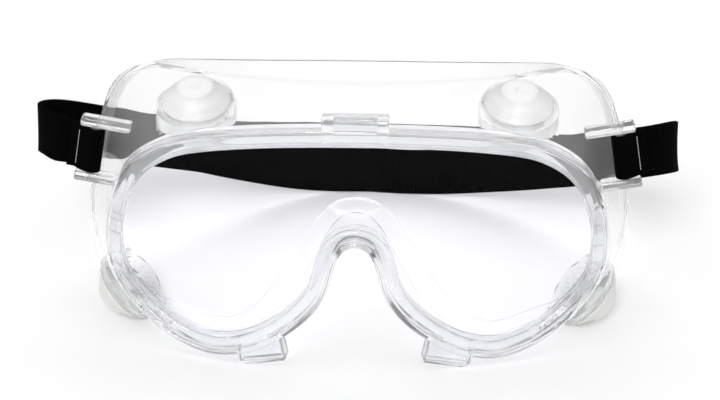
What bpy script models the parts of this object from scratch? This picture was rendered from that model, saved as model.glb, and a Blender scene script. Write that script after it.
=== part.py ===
"""Indirect-vent splash goggles, modelled in metres, +Z up.

The goggles stand on a table on the two lens-tab pockets at the front, leaning back a little, and
the elastic strap sweeps round behind them and touches the table in the middle. The frame, lens
and vents are modelled in the goggles' own axes, u across, v up the lens and w back towards the
face, and hang from one empty that leans them back. The strap is modelled where it lies.
"""

import math

import bmesh
import bpy
import numpy as np
from mathutils import Matrix, Vector

MM = 0.001

# Pose of the goggles' own axes on the table
LEAN = math.radians(7.0)
GOGGLE_ORIGIN = Vector((0.0, -50.45, 47.3)) * MM

# Lens: a flat sheet bent to a cylinder about v
LENS_RADIUS = 170.0 * MM
LENS_THICKNESS = 2.0 * MM
LENS_INSET = 2.4 * MM
LENS_GAP = 0.3 * MM
# Lens tabs: u and v of the middle, turn in degrees about w, and the width of the pocket round it
TABS = {
    "top": (0.0, 31.5, 0.0, 20.0),
    "bottom_left": (-29.5, -41.6, 12.0, 15.4),
    "bottom_right": (29.5, -41.6, -12.0, 15.4),
}
TAB_SIZE = Vector((12.4, 6.6)) * MM
POCKET_WALL = 1.6 * MM

# Frame
WALL_THICKNESS = 1.7 * MM
RIM_WIDTH = 6.0 * MM
STATIONS_PER_POINT = 2
# Half outlines from the top centre round to the nose arch. Each point matches the same one of the
# other two curves: the rim (u, v), the fold where the wall turns into the face flange, and the
# flange's free edge (u, v, w).
RIM = [
    (0, 33), (28, 31.6), (50, 27.8), (61, 23.3), (70, 16), (76, 5.5), (79, -6), (79, -18), (75.5, -27),
    (69, -34), (60.5, -40.5), (51.5, -44.4), (43, -45.5), (33.5, -43.5), (24.5, -38.7), (15.4, -31.2),
    (9.3, -22.7), (6.6, -14), (4.3, -7.9), (0, -5.5),
]
FOLD = [
    (0, 39.4, 21.5), (28, 38.4, 27.5), (51, 37.6, 37), (65.5, 38, 42), (76, 33, 44.5), (82, 21.5, 46.5),
    (86, 4, 47), (87.7, -11, 46.5), (86, -22.5, 44), (80.5, -31, 39), (70, -37, 31), (57.5, -41, 23),
    (45, -43, 17.3), (34, -41, 15.5), (25.5, -35, 15), (18, -25.5, 14.8), (12.8, -15.5, 14.2),
    (9.3, -8, 13.7), (5.3, -1.8, 13), (0, 0.5, 12.5),
]
FLANGE_EDGE = [
    (0, 43, 33), (28, 41.5, 37), (52.5, 38.6, 45.5), (66, 36, 50), (75.5, 28.5, 53), (81, 16, 55),
    (84.5, 0, 55.5), (87, -14, 53), (88, -25, 48.5), (84, -35, 41.5), (73, -39, 35), (59, -39.5, 28),
    (45.5, -41.5, 21.3), (35.5, -38.5, 19.5), (28, -31.5, 19.5), (21.5, -21.5, 19.5), (15.5, -11, 19),
    (11.5, -4.5, 18.5), (6.5, 0.8, 17.6), (0, 2.8, 17),
]
# How far the wall bows in towards the face space, as a share of its depth
WALL_BOW = 0.05

# Vents: centre of the boss face and its outward axis in the goggles' axes. The top ones lean forward.
TOP_VENT_LEAN = math.radians(18.0)
VENTS = {
    "top": ((49.5, 31.2, 23.2), (0.0, math.cos(TOP_VENT_LEAN), -math.sin(TOP_VENT_LEAN))),
    "cheek": ((74.6, -34.0, 28.5), (0.77, -0.62, 0.0)),
}
SIDES = {"left": -1, "right": 1}
BOSS_RADIUS = 12.4 * MM
BOSS_DEPTH = 6.0 * MM
BOSS_LIP = 0.2 * MM
SEAT_RECESS_RADIUS = 11.6 * MM
VENT_HOLE_RADIUS = 7.9 * MM
BEAD_ROOM_RADIUS = 9.2 * MM
# Space left between a boss's inner face and the room for the seat's snap bead
BEAD_ROOM_GAP = 0.2 * MM
# The cutting rods of a vent run this far past its boss, so that no skin is left
RECESS_REACH = 8.0 * MM
HOLE_REACH_OUT = 4.0 * MM
HOLE_REACH_IN = 14.0 * MM
TURNED_STEPS = 16

# Strap lugs moulded on the frame's sides, and the bar between them
BAR_CENTRE = Vector((82.8, 15.2, 26.0)) * MM
BAR_TILT = math.radians(10.0)
BAR_RADIUS = 1.6 * MM
SLOT_HALF_LENGTH = 7.7 * MM
LUG_WIDTH = 5.0 * MM
LUG_THICKNESS = 3.0 * MM
LUG_OVERHANG = 4.6 * MM
# How far each lug runs in from the bar to the wall
LUG_ROOTS = {"upper": 11.0 * MM, "lower": 8.5 * MM}

# Elastic strap
STRAP_WIDTH = 18.0 * MM
SQUEEZED_WIDTH = 14.6 * MM
STRAP_THICKNESS = 1.4 * MM
LOOP_GAP = 0.3 * MM
LOOP_REACH = 8.4 * MM
TAIL_REACH = 7.6 * MM
# The tail leaves the bar through this point, outward and back from its axis, and from TAIL_SETTLE
# outward lies along the layer behind it, TAIL_EASE short of it at first
TAIL_BEND = (2.6 * MM, -1.3 * MM)
TAIL_SETTLE = 5.0 * MM
TAIL_EASE = 0.1 * MM
LOOP_POINTS = 9


def clear_scene():
    for thing in list(bpy.data.objects):
        bpy.data.objects.remove(thing, do_unlink=True)


def new_collection(name):
    collection = bpy.data.collections.new(name)
    bpy.context.scene.collection.children.link(collection)
    return collection


def material(name, colour, roughness, transmission=0.0):
    made = bpy.data.materials.new(name)
    made.use_nodes = True
    shader = made.node_tree.nodes["Principled BSDF"]
    shader.inputs["Base Color"].default_value = (*colour, 1.0)
    shader.inputs["Roughness"].default_value = roughness
    shader.inputs["Metallic"].default_value = 0.0
    shader.inputs["Transmission Weight"].default_value = transmission
    return made


def add_object(name, mesh, collection, finish=None, parent=None):
    made = bpy.data.objects.new(name, mesh)
    collection.objects.link(made)
    made.parent = parent
    if finish and not mesh.materials:
        mesh.materials.append(finish)
    return made


def mesh_from(name, build):
    """A mesh filled by build(bm), with its normals facing out."""
    bm = bmesh.new()
    build(bm)
    bmesh.ops.recalc_face_normals(bm, faces=bm.faces)
    mesh = bpy.data.meshes.new(name)
    bm.to_mesh(mesh)
    bm.free()
    return mesh


def add_boolean(target, cutter, operation, solver="EXACT"):
    step = target.modifiers.new(f"{operation.lower()}_{cutter.name}", "BOOLEAN")
    step.operation = operation
    step.solver = solver
    step.object = cutter


def hide_cutter(cutter):
    cutter.hide_render = True
    cutter.display_type = "WIRE"
    return cutter


# ---------------------------------------------------------------- curves


def closed_spline(points, per_point):
    """A periodic cubic spline through points, sampled per_point times between each pair."""
    knots = np.array(points, float)
    count = len(knots)
    system = np.zeros((count, count))
    for i in range(count):
        system[i, i] = 4.0
        system[i, (i - 1) % count] = 1.0
        system[i, (i + 1) % count] = 1.0
    slopes = np.linalg.solve(system, 3.0 * (np.roll(knots, -1, 0) - np.roll(knots, 1, 0)))
    samples = []
    for i in range(count):
        a, b = knots[i], knots[(i + 1) % count]
        da, db = slopes[i], slopes[(i + 1) % count]
        for step in range(per_point):
            t = step / per_point
            samples.append(
                a * (2 * t**3 - 3 * t**2 + 1)
                + da * (t**3 - 2 * t**2 + t)
                + b * (3 * t**2 - 2 * t**3)
                + db * (t**3 - t**2)
            )
    return np.array(samples)


def whole_outline(half):
    """The half outline and its mirror image as one closed, smooth curve, in metres."""
    mirrored = [(-p[0], *p[1:]) for p in half[-2:0:-1]]
    return closed_spline(list(half) + mirrored, STATIONS_PER_POINT) * MM


def outward_normals(outline):
    """Unit normals in the u, v plane that point away from the lens."""
    along = np.roll(outline, -1, 0) - np.roll(outline, 1, 0)
    normals = np.stack([-along[:, 1], along[:, 0]], 1)
    return normals / np.linalg.norm(normals, axis=1)[:, None]


def lens_depth(u):
    """How far back the lens's front surface lies at u."""
    return LENS_RADIUS - np.sqrt(LENS_RADIUS**2 - np.asarray(u) ** 2)


def on_lens(outline, normals, offset, depth):
    """The outline moved outward by offset, at depth behind the lens's front surface."""
    moved = outline + normals * offset
    return np.column_stack([moved, lens_depth(moved[:, 0]) + depth])


def local_to_blender(points):
    """u, v, w become x, z, y of the empty that holds the goggles."""
    return np.asarray(points)[:, [0, 2, 1]]


def in_goggles(point):
    return Vector((point[0], point[2], point[1]))


# ---------------------------------------------------------------- frame


def frame_sections():
    """Closed sections through rim, wall and face flange, one row for each point of a section."""
    rim = whole_outline(RIM)
    normals = outward_normals(rim)
    fold = whole_outline(FOLD)
    edge = whole_outline(FLANGE_EDGE)
    inner = -RIM_WIDTH
    rim_front = [
        (inner, 0.4 * MM),
        (inner, -1.1 * MM),
        (inner + 0.8 * MM, -2.0 * MM),
        (-1.2 * MM, -2.2 * MM),
        (0.0, -1.2 * MM),
        (0.0, 3.4 * MM),
        (-1.0 * MM, 4.8 * MM),
    ]
    rim_back = [
        (-3.4 * MM, 4.8 * MM),
        (inner + 0.8 * MM, 4.4 * MM),
        (inner, 3.6 * MM),
    ]
    front = [on_lens(rim, normals, n, d) for n, d in rim_front]
    back = [on_lens(rim, normals, n, d) for n, d in rim_back]
    start = front[-1]
    run = fold - start
    bow = np.zeros_like(run)
    bow[:, :2] = -normals * np.linalg.norm(run, axis=1)[:, None] * WALL_BOW
    wall = [start + run * s + bow * 4 * s * (1 - s) for s in (0.35, 0.68, 0.93)]
    flange = [fold + (edge - fold) * s for s in (0.16, 0.6, 1.0)]
    outer = [start, *wall, *flange]
    inward = inward_normals(np.array(outer))
    lining = [outer[j] + inward[j] * WALL_THICKNESS for j in range(len(outer) - 1, 0, -1)]
    return [*front, *wall, *flange, *lining, *back]


def inward_normals(grid):
    """Unit normals of a grid of rows of points that face the inside of the goggles."""
    across = np.gradient(grid, axis=0)
    along = np.roll(grid, -1, 1) - np.roll(grid, 1, 1)
    normals = np.cross(along, across)
    return normals / np.linalg.norm(normals, axis=2)[:, :, None]


def loft(bm, rows):
    """Joins rows of points, each a closed ring, into a tube whose last row meets its first."""
    rings = [[bm.verts.new(p) for p in local_to_blender(row)] for row in rows]
    count = len(rings[0])
    for j, ring in enumerate(rings):
        following = rings[(j + 1) % len(rings)]
        for i in range(count):
            k = (i + 1) % count
            bm.faces.new((ring[i], ring[k], following[k], following[i]))


def block_mesh(name, size):
    def build(bm):
        bmesh.ops.create_cube(bm, size=1.0)
        bmesh.ops.scale(bm, vec=size, verts=bm.verts)

    return mesh_from(name, build)


def rod_mesh(name, radius, low, high, steps=TURNED_STEPS):
    """A rod along its own Z from low to high."""

    def build(bm):
        bmesh.ops.create_cone(
            bm, cap_ends=True, segments=steps, radius1=radius, radius2=radius, depth=high - low
        )
        bmesh.ops.translate(bm, vec=(0, 0, (low + high) / 2), verts=bm.verts)

    return mesh_from(name, build)


def vent_matrix(place, side):
    """Carries a vent's own axes, +Z out of its boss, to the goggles' axes."""
    centre, axis = VENTS[place]
    position = in_goggles(centre) * MM
    direction = in_goggles(axis)
    position.x *= side
    direction.x *= side
    turn = direction.to_track_quat("Z", "Y").to_matrix().to_4x4()
    return Matrix.Translation(position) @ turn


def bar_matrix(side):
    """Carries a lug's own axes, +X outward and +Z up along the bar, to the goggles' axes."""
    position = in_goggles(BAR_CENTRE)
    position.x *= side
    turn = Matrix.Rotation(-BAR_TILT * side, 4, "Y")
    return Matrix.Translation(position) @ turn


def add_frame(collection, cutters, finish, holder):
    mesh = mesh_from("goggle_frame", lambda bm: loft(bm, frame_sections()))
    frame = add_object("goggle_frame", mesh, collection, finish, holder)

    def tool(name, shape, matrix, operation):
        cutter = hide_cutter(add_object(name, shape, cutters, None, holder))
        cutter.matrix_local = matrix
        # EXACT leaves an open edge where a lug grazes the bowed wall.
        add_boolean(frame, cutter, operation, "MANIFOLD")

    for side_name, side in SIDES.items():
        for place in VENTS:
            matrix = vent_matrix(place, side)
            name = f"{place}_{side_name}"
            boss = rod_mesh("boss", BOSS_RADIUS, -BOSS_DEPTH, BOSS_LIP)
            tool(f"boss_{name}", boss, matrix, "UNION")
            recess = rod_mesh("seat_recess", SEAT_RECESS_RADIUS, 0, RECESS_REACH)
            tool(f"seat_recess_{name}", recess, matrix, "DIFFERENCE")
            hole = rod_mesh("hole", VENT_HOLE_RADIUS, -HOLE_REACH_IN, HOLE_REACH_OUT)
            tool(f"hole_{name}", hole, matrix, "DIFFERENCE")
            room_start = -BOSS_DEPTH - BEAD_ROOM_GAP
            room = rod_mesh("bead_room", BEAD_ROOM_RADIUS, -HOLE_REACH_IN, room_start)
            tool(f"bead_room_{name}", room, matrix, "DIFFERENCE")
        add_lugs(tool, side_name, side)
    add_pockets(tool)
    space = add_lens_shape("lens_space", LENS_GAP, cutters, cutters, None, holder)
    add_boolean(frame, hide_cutter(space), "DIFFERENCE", "MANIFOLD")
    floor_size = (0.3, 0.3, 0.02)
    floor = block_mesh("floor_cut", floor_size)
    cutter = hide_cutter(add_object("floor_cut", floor, cutters))
    cutter.location.z = -floor_size[2] / 2
    add_boolean(frame, cutter, "DIFFERENCE", "MANIFOLD")
    return frame


def add_lugs(tool, side_name, side):
    matrix = bar_matrix(side)
    length = SLOT_HALF_LENGTH + LUG_THICKNESS / 2
    for end_name, root in LUG_ROOTS.items():
        end = 1 if end_name == "upper" else -1
        shift = Matrix.Translation((side * (LUG_OVERHANG - root) / 2, 0, end * length))
        lug = block_mesh("lug", (LUG_OVERHANG + root, LUG_WIDTH, LUG_THICKNESS))
        tool(f"lug_{end_name}_{side_name}", lug, matrix @ shift, "UNION")
    tool(f"bar_{side_name}", rod_mesh("bar", BAR_RADIUS, -length, length, 12), matrix, "UNION")


def tab_matrix(name):
    """Carries a lens tab's own axes, +X along the rim and +Y back, to the goggles' axes."""
    u, v, turn, _ = TABS[name]
    position = Vector((u * MM, float(lens_depth(u * MM)) + LENS_THICKNESS / 2, v * MM))
    swing = Matrix.Rotation(math.asin(u * MM / LENS_RADIUS), 4, "Z")
    return Matrix.Translation(position) @ Matrix.Rotation(math.radians(-turn), 4, "Y") @ swing


def add_pockets(tool):
    """Blocks on the rim, one over each lens tab."""
    for name, (_, _, _, width) in TABS.items():
        depth = LENS_THICKNESS + 2 * POCKET_WALL + LENS_GAP
        block = block_mesh("pocket", (width * MM, depth, TAB_SIZE.y + POCKET_WALL))
        outward = -1 if name.startswith("bottom") else 1
        shift = Matrix.Translation((0, 0, outward * POCKET_WALL / 2))
        tool(f"pocket_{name}", block, tab_matrix(name) @ shift, "UNION")


# ---------------------------------------------------------------- lens


def bent_sheet(bm):
    """A wide strip bent to the lens's cylinder, taller than the lens."""
    columns = 28
    half_width = 80 * MM
    low, high = -52 * MM, 40 * MM
    rows = []
    for i in range(columns + 1):
        u = half_width * (2 * i / columns - 1)
        depth = float(lens_depth(u))
        rows.append([bm.verts.new((u, depth, low)), bm.verts.new((u, depth, high))])
    for a, b in zip(rows, rows[1:]):
        bm.faces.new((a[0], b[0], b[1], a[1]))


def outline_prism(bm, inset):
    """The rim's outline drawn in by inset, stood up from in front of the sheet to behind it."""
    front, length = -10 * MM, 50 * MM
    rim = whole_outline(RIM)
    edge = rim - outward_normals(rim) * inset
    ring = [bm.verts.new((u, front, v)) for u, v in edge]
    grown = bmesh.ops.extrude_face_region(bm, geom=[bm.faces.new(ring)])
    moved = [g for g in grown["geom"] if isinstance(g, bmesh.types.BMVert)]
    bmesh.ops.translate(bm, vec=(0, length, 0), verts=moved)


def add_lens_shape(name, grow, collection, cutters, finish, holder):
    """The tabbed lens, or with grow above 0 the space that holds it with that gap all round."""
    bm = bmesh.new()
    bent_sheet(bm)
    mesh = bpy.data.meshes.new(name)
    bm.to_mesh(mesh)
    bm.free()
    shape = add_object(name, mesh, collection, finish, holder)
    thick = shape.modifiers.new("thickness", "SOLIDIFY")
    thick.thickness = LENS_THICKNESS + 2 * grow
    thick.offset = -1.0
    shape.location.y = -grow
    prism = mesh_from(f"{name}_outline", lambda bm: outline_prism(bm, LENS_INSET - grow))
    outline = hide_cutter(add_object(f"{name}_outline", prism, cutters, None, holder))
    through = 6 * LENS_THICKNESS
    for tab_name in TABS:
        size = (TAB_SIZE.x + 2 * grow, through, TAB_SIZE.y + 2 * grow)
        tab = add_object(f"{name}_tab_{tab_name}", block_mesh("tab", size), cutters, None, holder)
        hide_cutter(tab).matrix_local = tab_matrix(tab_name)
        add_boolean(outline, tab, "UNION")
    add_boolean(shape, outline, "INTERSECT")
    return shape


# ---------------------------------------------------------------- vents

# Turned profiles, (radius, height above the boss face) in millimetres, down the outer side
SEAT_OUTSIDE = [
    (6.2, 3.1), (6.9, 3.1), (7.2, 2.6), (6.9, 2.1), (6.9, 1.2), (10.9, 1.2), (11.3, 0.9), (11.3, 0.3),
    (7.5, 0.3), (7.5, -6.4), (8.5, -6.5), (8.5, -7.0), (7.4, -8.0), (0, -8.0),
]
SEAT_INSIDE = [(0, -6.8), (6.2, -6.8)]
CAP_OUTSIDE = [
    (0, 7.1), (1.0, 7.1), (1.3, 7.4), (5.5, 7.4), (6.0, 7.0), (6.2, 6.2), (7.4, 5.0), (9.0, 3.8),
    (10.4, 2.4), (10.7, 1.6),
]
CAP_INSIDE = [(9.9, 1.6), (8.7, 2.9), (8.3, 1.8), (7.5, 1.8), (7.5, 3.4), (5.0, 5.2), (4.8, 6.3), (0, 6.2)]


def turned_mesh(name, profile):
    """A profile wire at +X, from axis to axis, for the Screw modifier to turn about Z."""
    mesh = bpy.data.meshes.new(name)
    bm = bmesh.new()
    wire = [bm.verts.new((r * MM, 0, z * MM)) for r, z in profile]
    for a, b in zip(wire, wire[1:]):
        bm.edges.new((a, b))
    bm.to_mesh(mesh)
    bm.free()
    return mesh


def add_turned(name, mesh, collection, finish, holder, matrix):
    made = add_object(name, mesh, collection, finish, holder)
    made.matrix_local = matrix
    screw = made.modifiers.new("turn", "SCREW")
    screw.steps = TURNED_STEPS
    screw.render_steps = TURNED_STEPS
    screw.use_merge_vertices = True
    screw.merge_threshold = 0.00001
    screw.use_smooth_shade = True
    return made


GRILLE_HOLE_RADIUS = 1.3 * MM
GRILLE_RING_RADIUS = 3.8 * MM
# Height of the middle of the seat's floor above the boss face, and the cutters' length through it
GRILLE_HEIGHT = -7.4 * MM
GRILLE_DEPTH = 3.0 * MM


def grille_holes(bm):
    """Seven round air holes: one in the middle and six about it."""
    radius = GRILLE_HOLE_RADIUS
    ring = np.arange(6) * math.pi / 3
    centres = [Vector((0, 0, 0))]
    centres += [Vector((math.cos(a), math.sin(a), 0)) * GRILLE_RING_RADIUS for a in ring]
    for centre in centres:
        placed = Matrix.Translation(centre + Vector((0, 0, GRILLE_HEIGHT)))
        bmesh.ops.create_cone(
            bm, cap_ends=True, segments=8, radius1=radius, radius2=radius, depth=GRILLE_DEPTH, matrix=placed
        )


def add_vents(collection, cutters, finishes, holder):
    seat = turned_mesh("vent_seat", SEAT_INSIDE + SEAT_OUTSIDE)
    cap = turned_mesh("vent_cap", CAP_OUTSIDE + CAP_INSIDE)
    holes = mesh_from("grille_holes", grille_holes)
    for side_name, side in SIDES.items():
        for place in VENTS:
            matrix = vent_matrix(place, side)
            where = f"{place}_{side_name}"
            add_turned(f"vent_cap_{where}", cap, collection, finishes["cap"], holder, matrix)
            made = add_turned(f"vent_seat_{where}", seat, collection, finishes["seat"], holder, matrix)
            cutter = hide_cutter(add_object(f"grille_holes_{where}", holes, cutters, None, holder))
            cutter.matrix_local = matrix
            add_boolean(made, cutter, "DIFFERENCE")


# ---------------------------------------------------------------- strap


def ribbon(bm, centres, widths, thicknesses):
    """A closed band: at each centre a rectangle spans the width vector and the thickness vector."""
    rings = []
    for centre, width, thickness in zip(centres, widths, thicknesses):
        corners = [(-1, -1), (1, -1), (1, 1), (-1, 1)]
        rings.append([bm.verts.new(centre + width * a / 2 + thickness * b / 2) for a, b in corners])
    for ring, following in zip(rings, rings[1:]):
        for i in range(4):
            k = (i + 1) % 4
            bm.faces.new((ring[i], ring[k], following[k], following[i]))
    bm.faces.new(rings[0])
    bm.faces.new(rings[-1])


# Centreline of the band behind the goggles, from the left bend to the right one: across, back from
# the goggles' origin, and above the table
BAND_ROUTE = [
    (-97.5, 32.5, 61.8), (-100.8, 37.5, 61.2), (-99.8, 44, 58.8), (-95.8, 50.5, 55.2),
    (-89.5, 56.5, 50.8), (-80, 64, 44.6), (-69.5, 70.5, 38.9), (-56, 80.5, 31.4), (-48, 86, 26.6),
    (-36.5, 93.8, 19.6), (-22, 101.3, 12.7), (-8, 105.6, 9.3), (3, 106, 9.1), (14, 105, 9.1),
    (28, 102.4, 10.6), (42, 97.6, 14.4), (55.5, 90, 20), (65, 83, 25.2), (74, 75, 30.8),
    (82.5, 66.5, 36.9), (90.5, 57.5, 43.6), (97, 48.5, 50), (100.4, 40.5, 55.6), (98.2, 33.2, 59.4),
]
BAND_STEPS = 3
# The band leaves each sewn end straight for this far before it bends back.
BAND_LEAD = 2.4 * MM
# Points of the route over which the band widens from its squeezed end and turns upright
SWELL_POINTS = 7.0
TWIST_POINTS = 5.0


def open_spline(points, per_point):
    """A smooth curve through points with its ends free."""
    knots = np.array(points, float)
    count = len(knots)
    system = np.zeros((count, count))
    right = np.zeros_like(knots)
    for i in range(1, count - 1):
        system[i, i - 1 : i + 2] = (1.0, 4.0, 1.0)
        right[i] = 3.0 * (knots[i + 1] - knots[i - 1])
    system[0, :2] = (2.0, 1.0)
    right[0] = 3.0 * (knots[1] - knots[0])
    system[-1, -2:] = (1.0, 2.0)
    right[-1] = 3.0 * (knots[-1] - knots[-2])
    slopes = np.linalg.solve(system, right)
    samples = []
    for i in range(count - 1):
        a, b, da, db = knots[i], knots[i + 1], slopes[i], slopes[i + 1]
        steps = per_point + (1 if i == count - 2 else 0)
        for step in range(steps):
            t = step / per_point
            samples.append(
                a * (2 * t**3 - 3 * t**2 + 1)
                + da * (t**3 - 2 * t**2 + t)
                + b * (3 * t**2 - 2 * t**3)
                + db * (t**3 - t**2)
            )
    return np.array(samples)


def goggle_matrix():
    return Matrix.Translation(GOGGLE_ORIGIN) @ Matrix.Rotation(-LEAN, 4, "X")


def strap_axes(side):
    """World matrix of one lug's axes: +X outward along the strap, +Y back, +Z up along the bar."""
    outward = Matrix.Diagonal((side, 1, 1, 1))
    return goggle_matrix() @ bar_matrix(side) @ outward


def layer_offset():
    """Distance from the bar's axis to the middle of the webbing that lies against it."""
    return BAR_RADIUS + LOOP_GAP + STRAP_THICKNESS / 2


def add_strap_end(side_name, side, collection, finish):
    """The sewn end: in behind the bar, round it and back out as a short tail in front."""
    layer = layer_offset()
    tail = layer - STRAP_THICKNESS - LOOP_GAP
    turn = [(-layer * math.sin(a), layer * math.cos(a)) for a in np.linspace(0, math.pi, LOOP_POINTS)]
    route = [(LOOP_REACH, layer), (LOOP_REACH / 2, layer), *turn]
    route += [TAIL_BEND, (TAIL_SETTLE, tail - TAIL_EASE), (TAIL_REACH, tail)]
    axes = strap_axes(side)
    path = [axes @ Vector((x, y, 0)) for x, y in route]
    ahead = [Vector(b) - Vector(a) for a, b in zip(route[:1] + route[:-1], route[1:] + route[-1:])]
    up = (axes.to_3x3() @ Vector((0, 0, 1))).normalized()
    widths = [up * SQUEEZED_WIDTH for _ in route]
    turned = axes.to_3x3()
    thicknesses = [turned @ Vector((-step.y, step.x, 0)).normalized() * STRAP_THICKNESS for step in ahead]
    mesh = mesh_from(f"strap_end_{side_name}", lambda bm: ribbon(bm, path, widths, thicknesses))
    trim_end(mesh, range(4), side * strap_cut(), path[1] - path[0])
    return add_object(f"strap_end_{side_name}", mesh, collection, finish)


def strap_join(side):
    return strap_axes(side) @ Vector((LOOP_REACH, layer_offset(), 0))


def strap_cut():
    """Distance from the middle plane to the cut where a sewn end meets the band."""
    return strap_join(1).x


def trim_end(mesh, corners, face_x, along):
    """Slides the given corners along the strap until they lie in the plane x = face_x."""
    for index in corners:
        vertex = mesh.vertices[index]
        vertex.co += along * ((face_x - vertex.co.x) / along.x)


def add_strap_band(collection, finish):
    joins = {side: strap_join(side) for side in (-1, 1)}
    points = [Vector((x, y + GOGGLE_ORIGIN.y / MM, z)) * MM for x, y, z in BAND_ROUTE]
    leads = {side: joins[side] + strap_axes(side).to_3x3().col[0] * BAND_LEAD for side in (-1, 1)}
    points = [joins[-1], leads[-1]] + points + [leads[1], joins[1]]
    samples = [Vector(p) for p in open_spline(points, BAND_STEPS)]
    # The leads stay whole, so that no ring reaches past the slanting cut at each end.
    centres = [samples[0], *samples[BAND_STEPS:-BAND_STEPS], samples[-1]]
    count = len(centres)
    ups = {side: (strap_axes(side).to_3x3() @ Vector((0, 0, 1))).normalized() for side in (-1, 1)}
    level = Vector((0, 0, 1))
    widths = []
    thicknesses = []
    for i, centre in enumerate(centres):
        near = ups[-1] if i < count / 2 else ups[1]
        reach = min(i, count - 1 - i) / BAND_STEPS
        ease = min(1.0, reach / TWIST_POINTS)
        ease = ease * ease * (3 - 2 * ease)
        up = near.lerp(level, ease).normalized()
        along = (centres[min(i + 1, count - 1)] - centres[max(i - 1, 0)]).normalized()
        up = (up - along * up.dot(along)).normalized()
        swell = min(1.0, reach / SWELL_POINTS)
        widths.append(up * (SQUEEZED_WIDTH + (STRAP_WIDTH - SQUEEZED_WIDTH) * swell))
        thicknesses.append(along.cross(up).normalized() * STRAP_THICKNESS)
    mesh = mesh_from("strap_band", lambda bm: ribbon(bm, centres, widths, thicknesses))
    trim_end(mesh, range(4), -strap_cut() - LOOP_GAP, centres[1] - centres[0])
    trim_end(mesh, range(4 * count - 4, 4 * count), strap_cut() + LOOP_GAP, centres[-2] - centres[-1])
    return add_object("strap_band", mesh, collection, finish)


def main():
    clear_scene()
    parts = new_collection("splash_goggles")
    cutters = new_collection("cutters")
    finishes = {
        "frame": material("soft_clear_pvc", (0.93, 0.95, 0.95), 0.12, 0.9),
        "lens": material("clear_polycarbonate", (0.97, 0.98, 1.0), 0.03, 1.0),
        "cap": material("frosted_white_plastic", (0.95, 0.95, 0.94), 0.45, 0.2),
        "seat": material("clear_hard_plastic", (0.9, 0.92, 0.92), 0.2, 0.7),
        "strap": material("black_elastic", (0.012, 0.012, 0.012), 0.85),
    }
    holder = bpy.data.objects.new("goggle_axes", None)
    parts.objects.link(holder)
    holder.matrix_world = goggle_matrix()
    bpy.context.view_layer.update()
    add_frame(parts, cutters, finishes["frame"], holder)
    add_lens_shape("lens", 0.0, parts, cutters, finishes["lens"], holder)
    add_vents(parts, cutters, finishes, holder)
    add_strap_band(parts, finishes["strap"])
    for side_name, side in SIDES.items():
        add_strap_end(side_name, side, parts, finishes["strap"])


main()
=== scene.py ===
"""The looks of the splash goggles: clear soft PVC, a clear lens, milky vent caps and knitted elastic.

Every length is in metres. The goggles' own axes are u across, v up the lens and w back towards the
face. They become X, Z and Y of a holder matrix that leans them back a little on the table.
"""

import math

import bmesh
import bpy
import numpy as np
from mathutils import Matrix, Vector


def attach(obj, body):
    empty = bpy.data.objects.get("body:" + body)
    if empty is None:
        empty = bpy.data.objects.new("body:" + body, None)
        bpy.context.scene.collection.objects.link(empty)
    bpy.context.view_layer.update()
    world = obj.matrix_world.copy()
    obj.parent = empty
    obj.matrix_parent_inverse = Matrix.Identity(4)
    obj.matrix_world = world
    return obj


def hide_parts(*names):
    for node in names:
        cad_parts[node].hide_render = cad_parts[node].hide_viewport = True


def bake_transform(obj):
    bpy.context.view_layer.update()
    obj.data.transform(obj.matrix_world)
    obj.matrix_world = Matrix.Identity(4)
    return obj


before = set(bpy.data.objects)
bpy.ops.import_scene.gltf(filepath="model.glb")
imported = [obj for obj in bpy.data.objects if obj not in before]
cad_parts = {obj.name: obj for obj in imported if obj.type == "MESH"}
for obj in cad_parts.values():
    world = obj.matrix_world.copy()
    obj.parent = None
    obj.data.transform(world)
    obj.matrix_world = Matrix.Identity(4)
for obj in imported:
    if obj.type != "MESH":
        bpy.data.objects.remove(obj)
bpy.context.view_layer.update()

MM = 0.001

# ---------------------------------------------------------------- sizes, as in the CAD model

LEAN = math.radians(7.0)
GOGGLE_ORIGIN = Vector((0.0, -50.45, 47.3)) * MM
HOLDER = Matrix.Translation(GOGGLE_ORIGIN) @ Matrix.Rotation(-LEAN, 4, "X")
SIDES = {"left": -1, "right": 1}

LENS_RADIUS = 170.0 * MM
LENS_THICKNESS = 2.0 * MM
LENS_INSET = 2.4 * MM
LENS_GAP = 0.3 * MM
TABS = {
    "top": (0.0, 31.5, 0.0, 20.0),
    "bottom_left": (-29.5, -41.6, 12.0, 15.4),
    "bottom_right": (29.5, -41.6, -12.0, 15.4),
}
TAB_SIZE = Vector((12.4, 6.6)) * MM
POCKET_WALL = 1.6 * MM

WALL_THICKNESS = 1.7 * MM
STATIONS_PER_POINT = 5
RIM = [
    (0, 33), (28, 31.6), (50, 27.8), (61, 23.3), (70, 16), (76, 5.5), (79, -6), (79, -18), (75.5, -27),
    (69, -34), (60.5, -40.5), (51.5, -44.4), (43, -45.5), (33.5, -43.5), (24.5, -38.7), (15.4, -31.2),
    (9.3, -22.7), (6.6, -14), (4.3, -7.9), (0, -5.5),
]
FOLD = [
    (0, 39.4, 21.5), (28, 38.4, 27.5), (51, 37.6, 37), (65.5, 38, 42), (76, 33, 44.5), (82, 21.5, 46.5),
    (86, 4, 47), (87.7, -11, 46.5), (86, -22.5, 44), (80.5, -31, 39), (70, -37, 31), (57.5, -41, 23),
    (45, -43, 17.3), (34, -41, 15.5), (25.5, -35, 15), (18, -25.5, 14.8), (12.8, -15.5, 14.2),
    (9.3, -8, 13.7), (5.3, -1.8, 13), (0, 0.5, 12.5),
]
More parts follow.
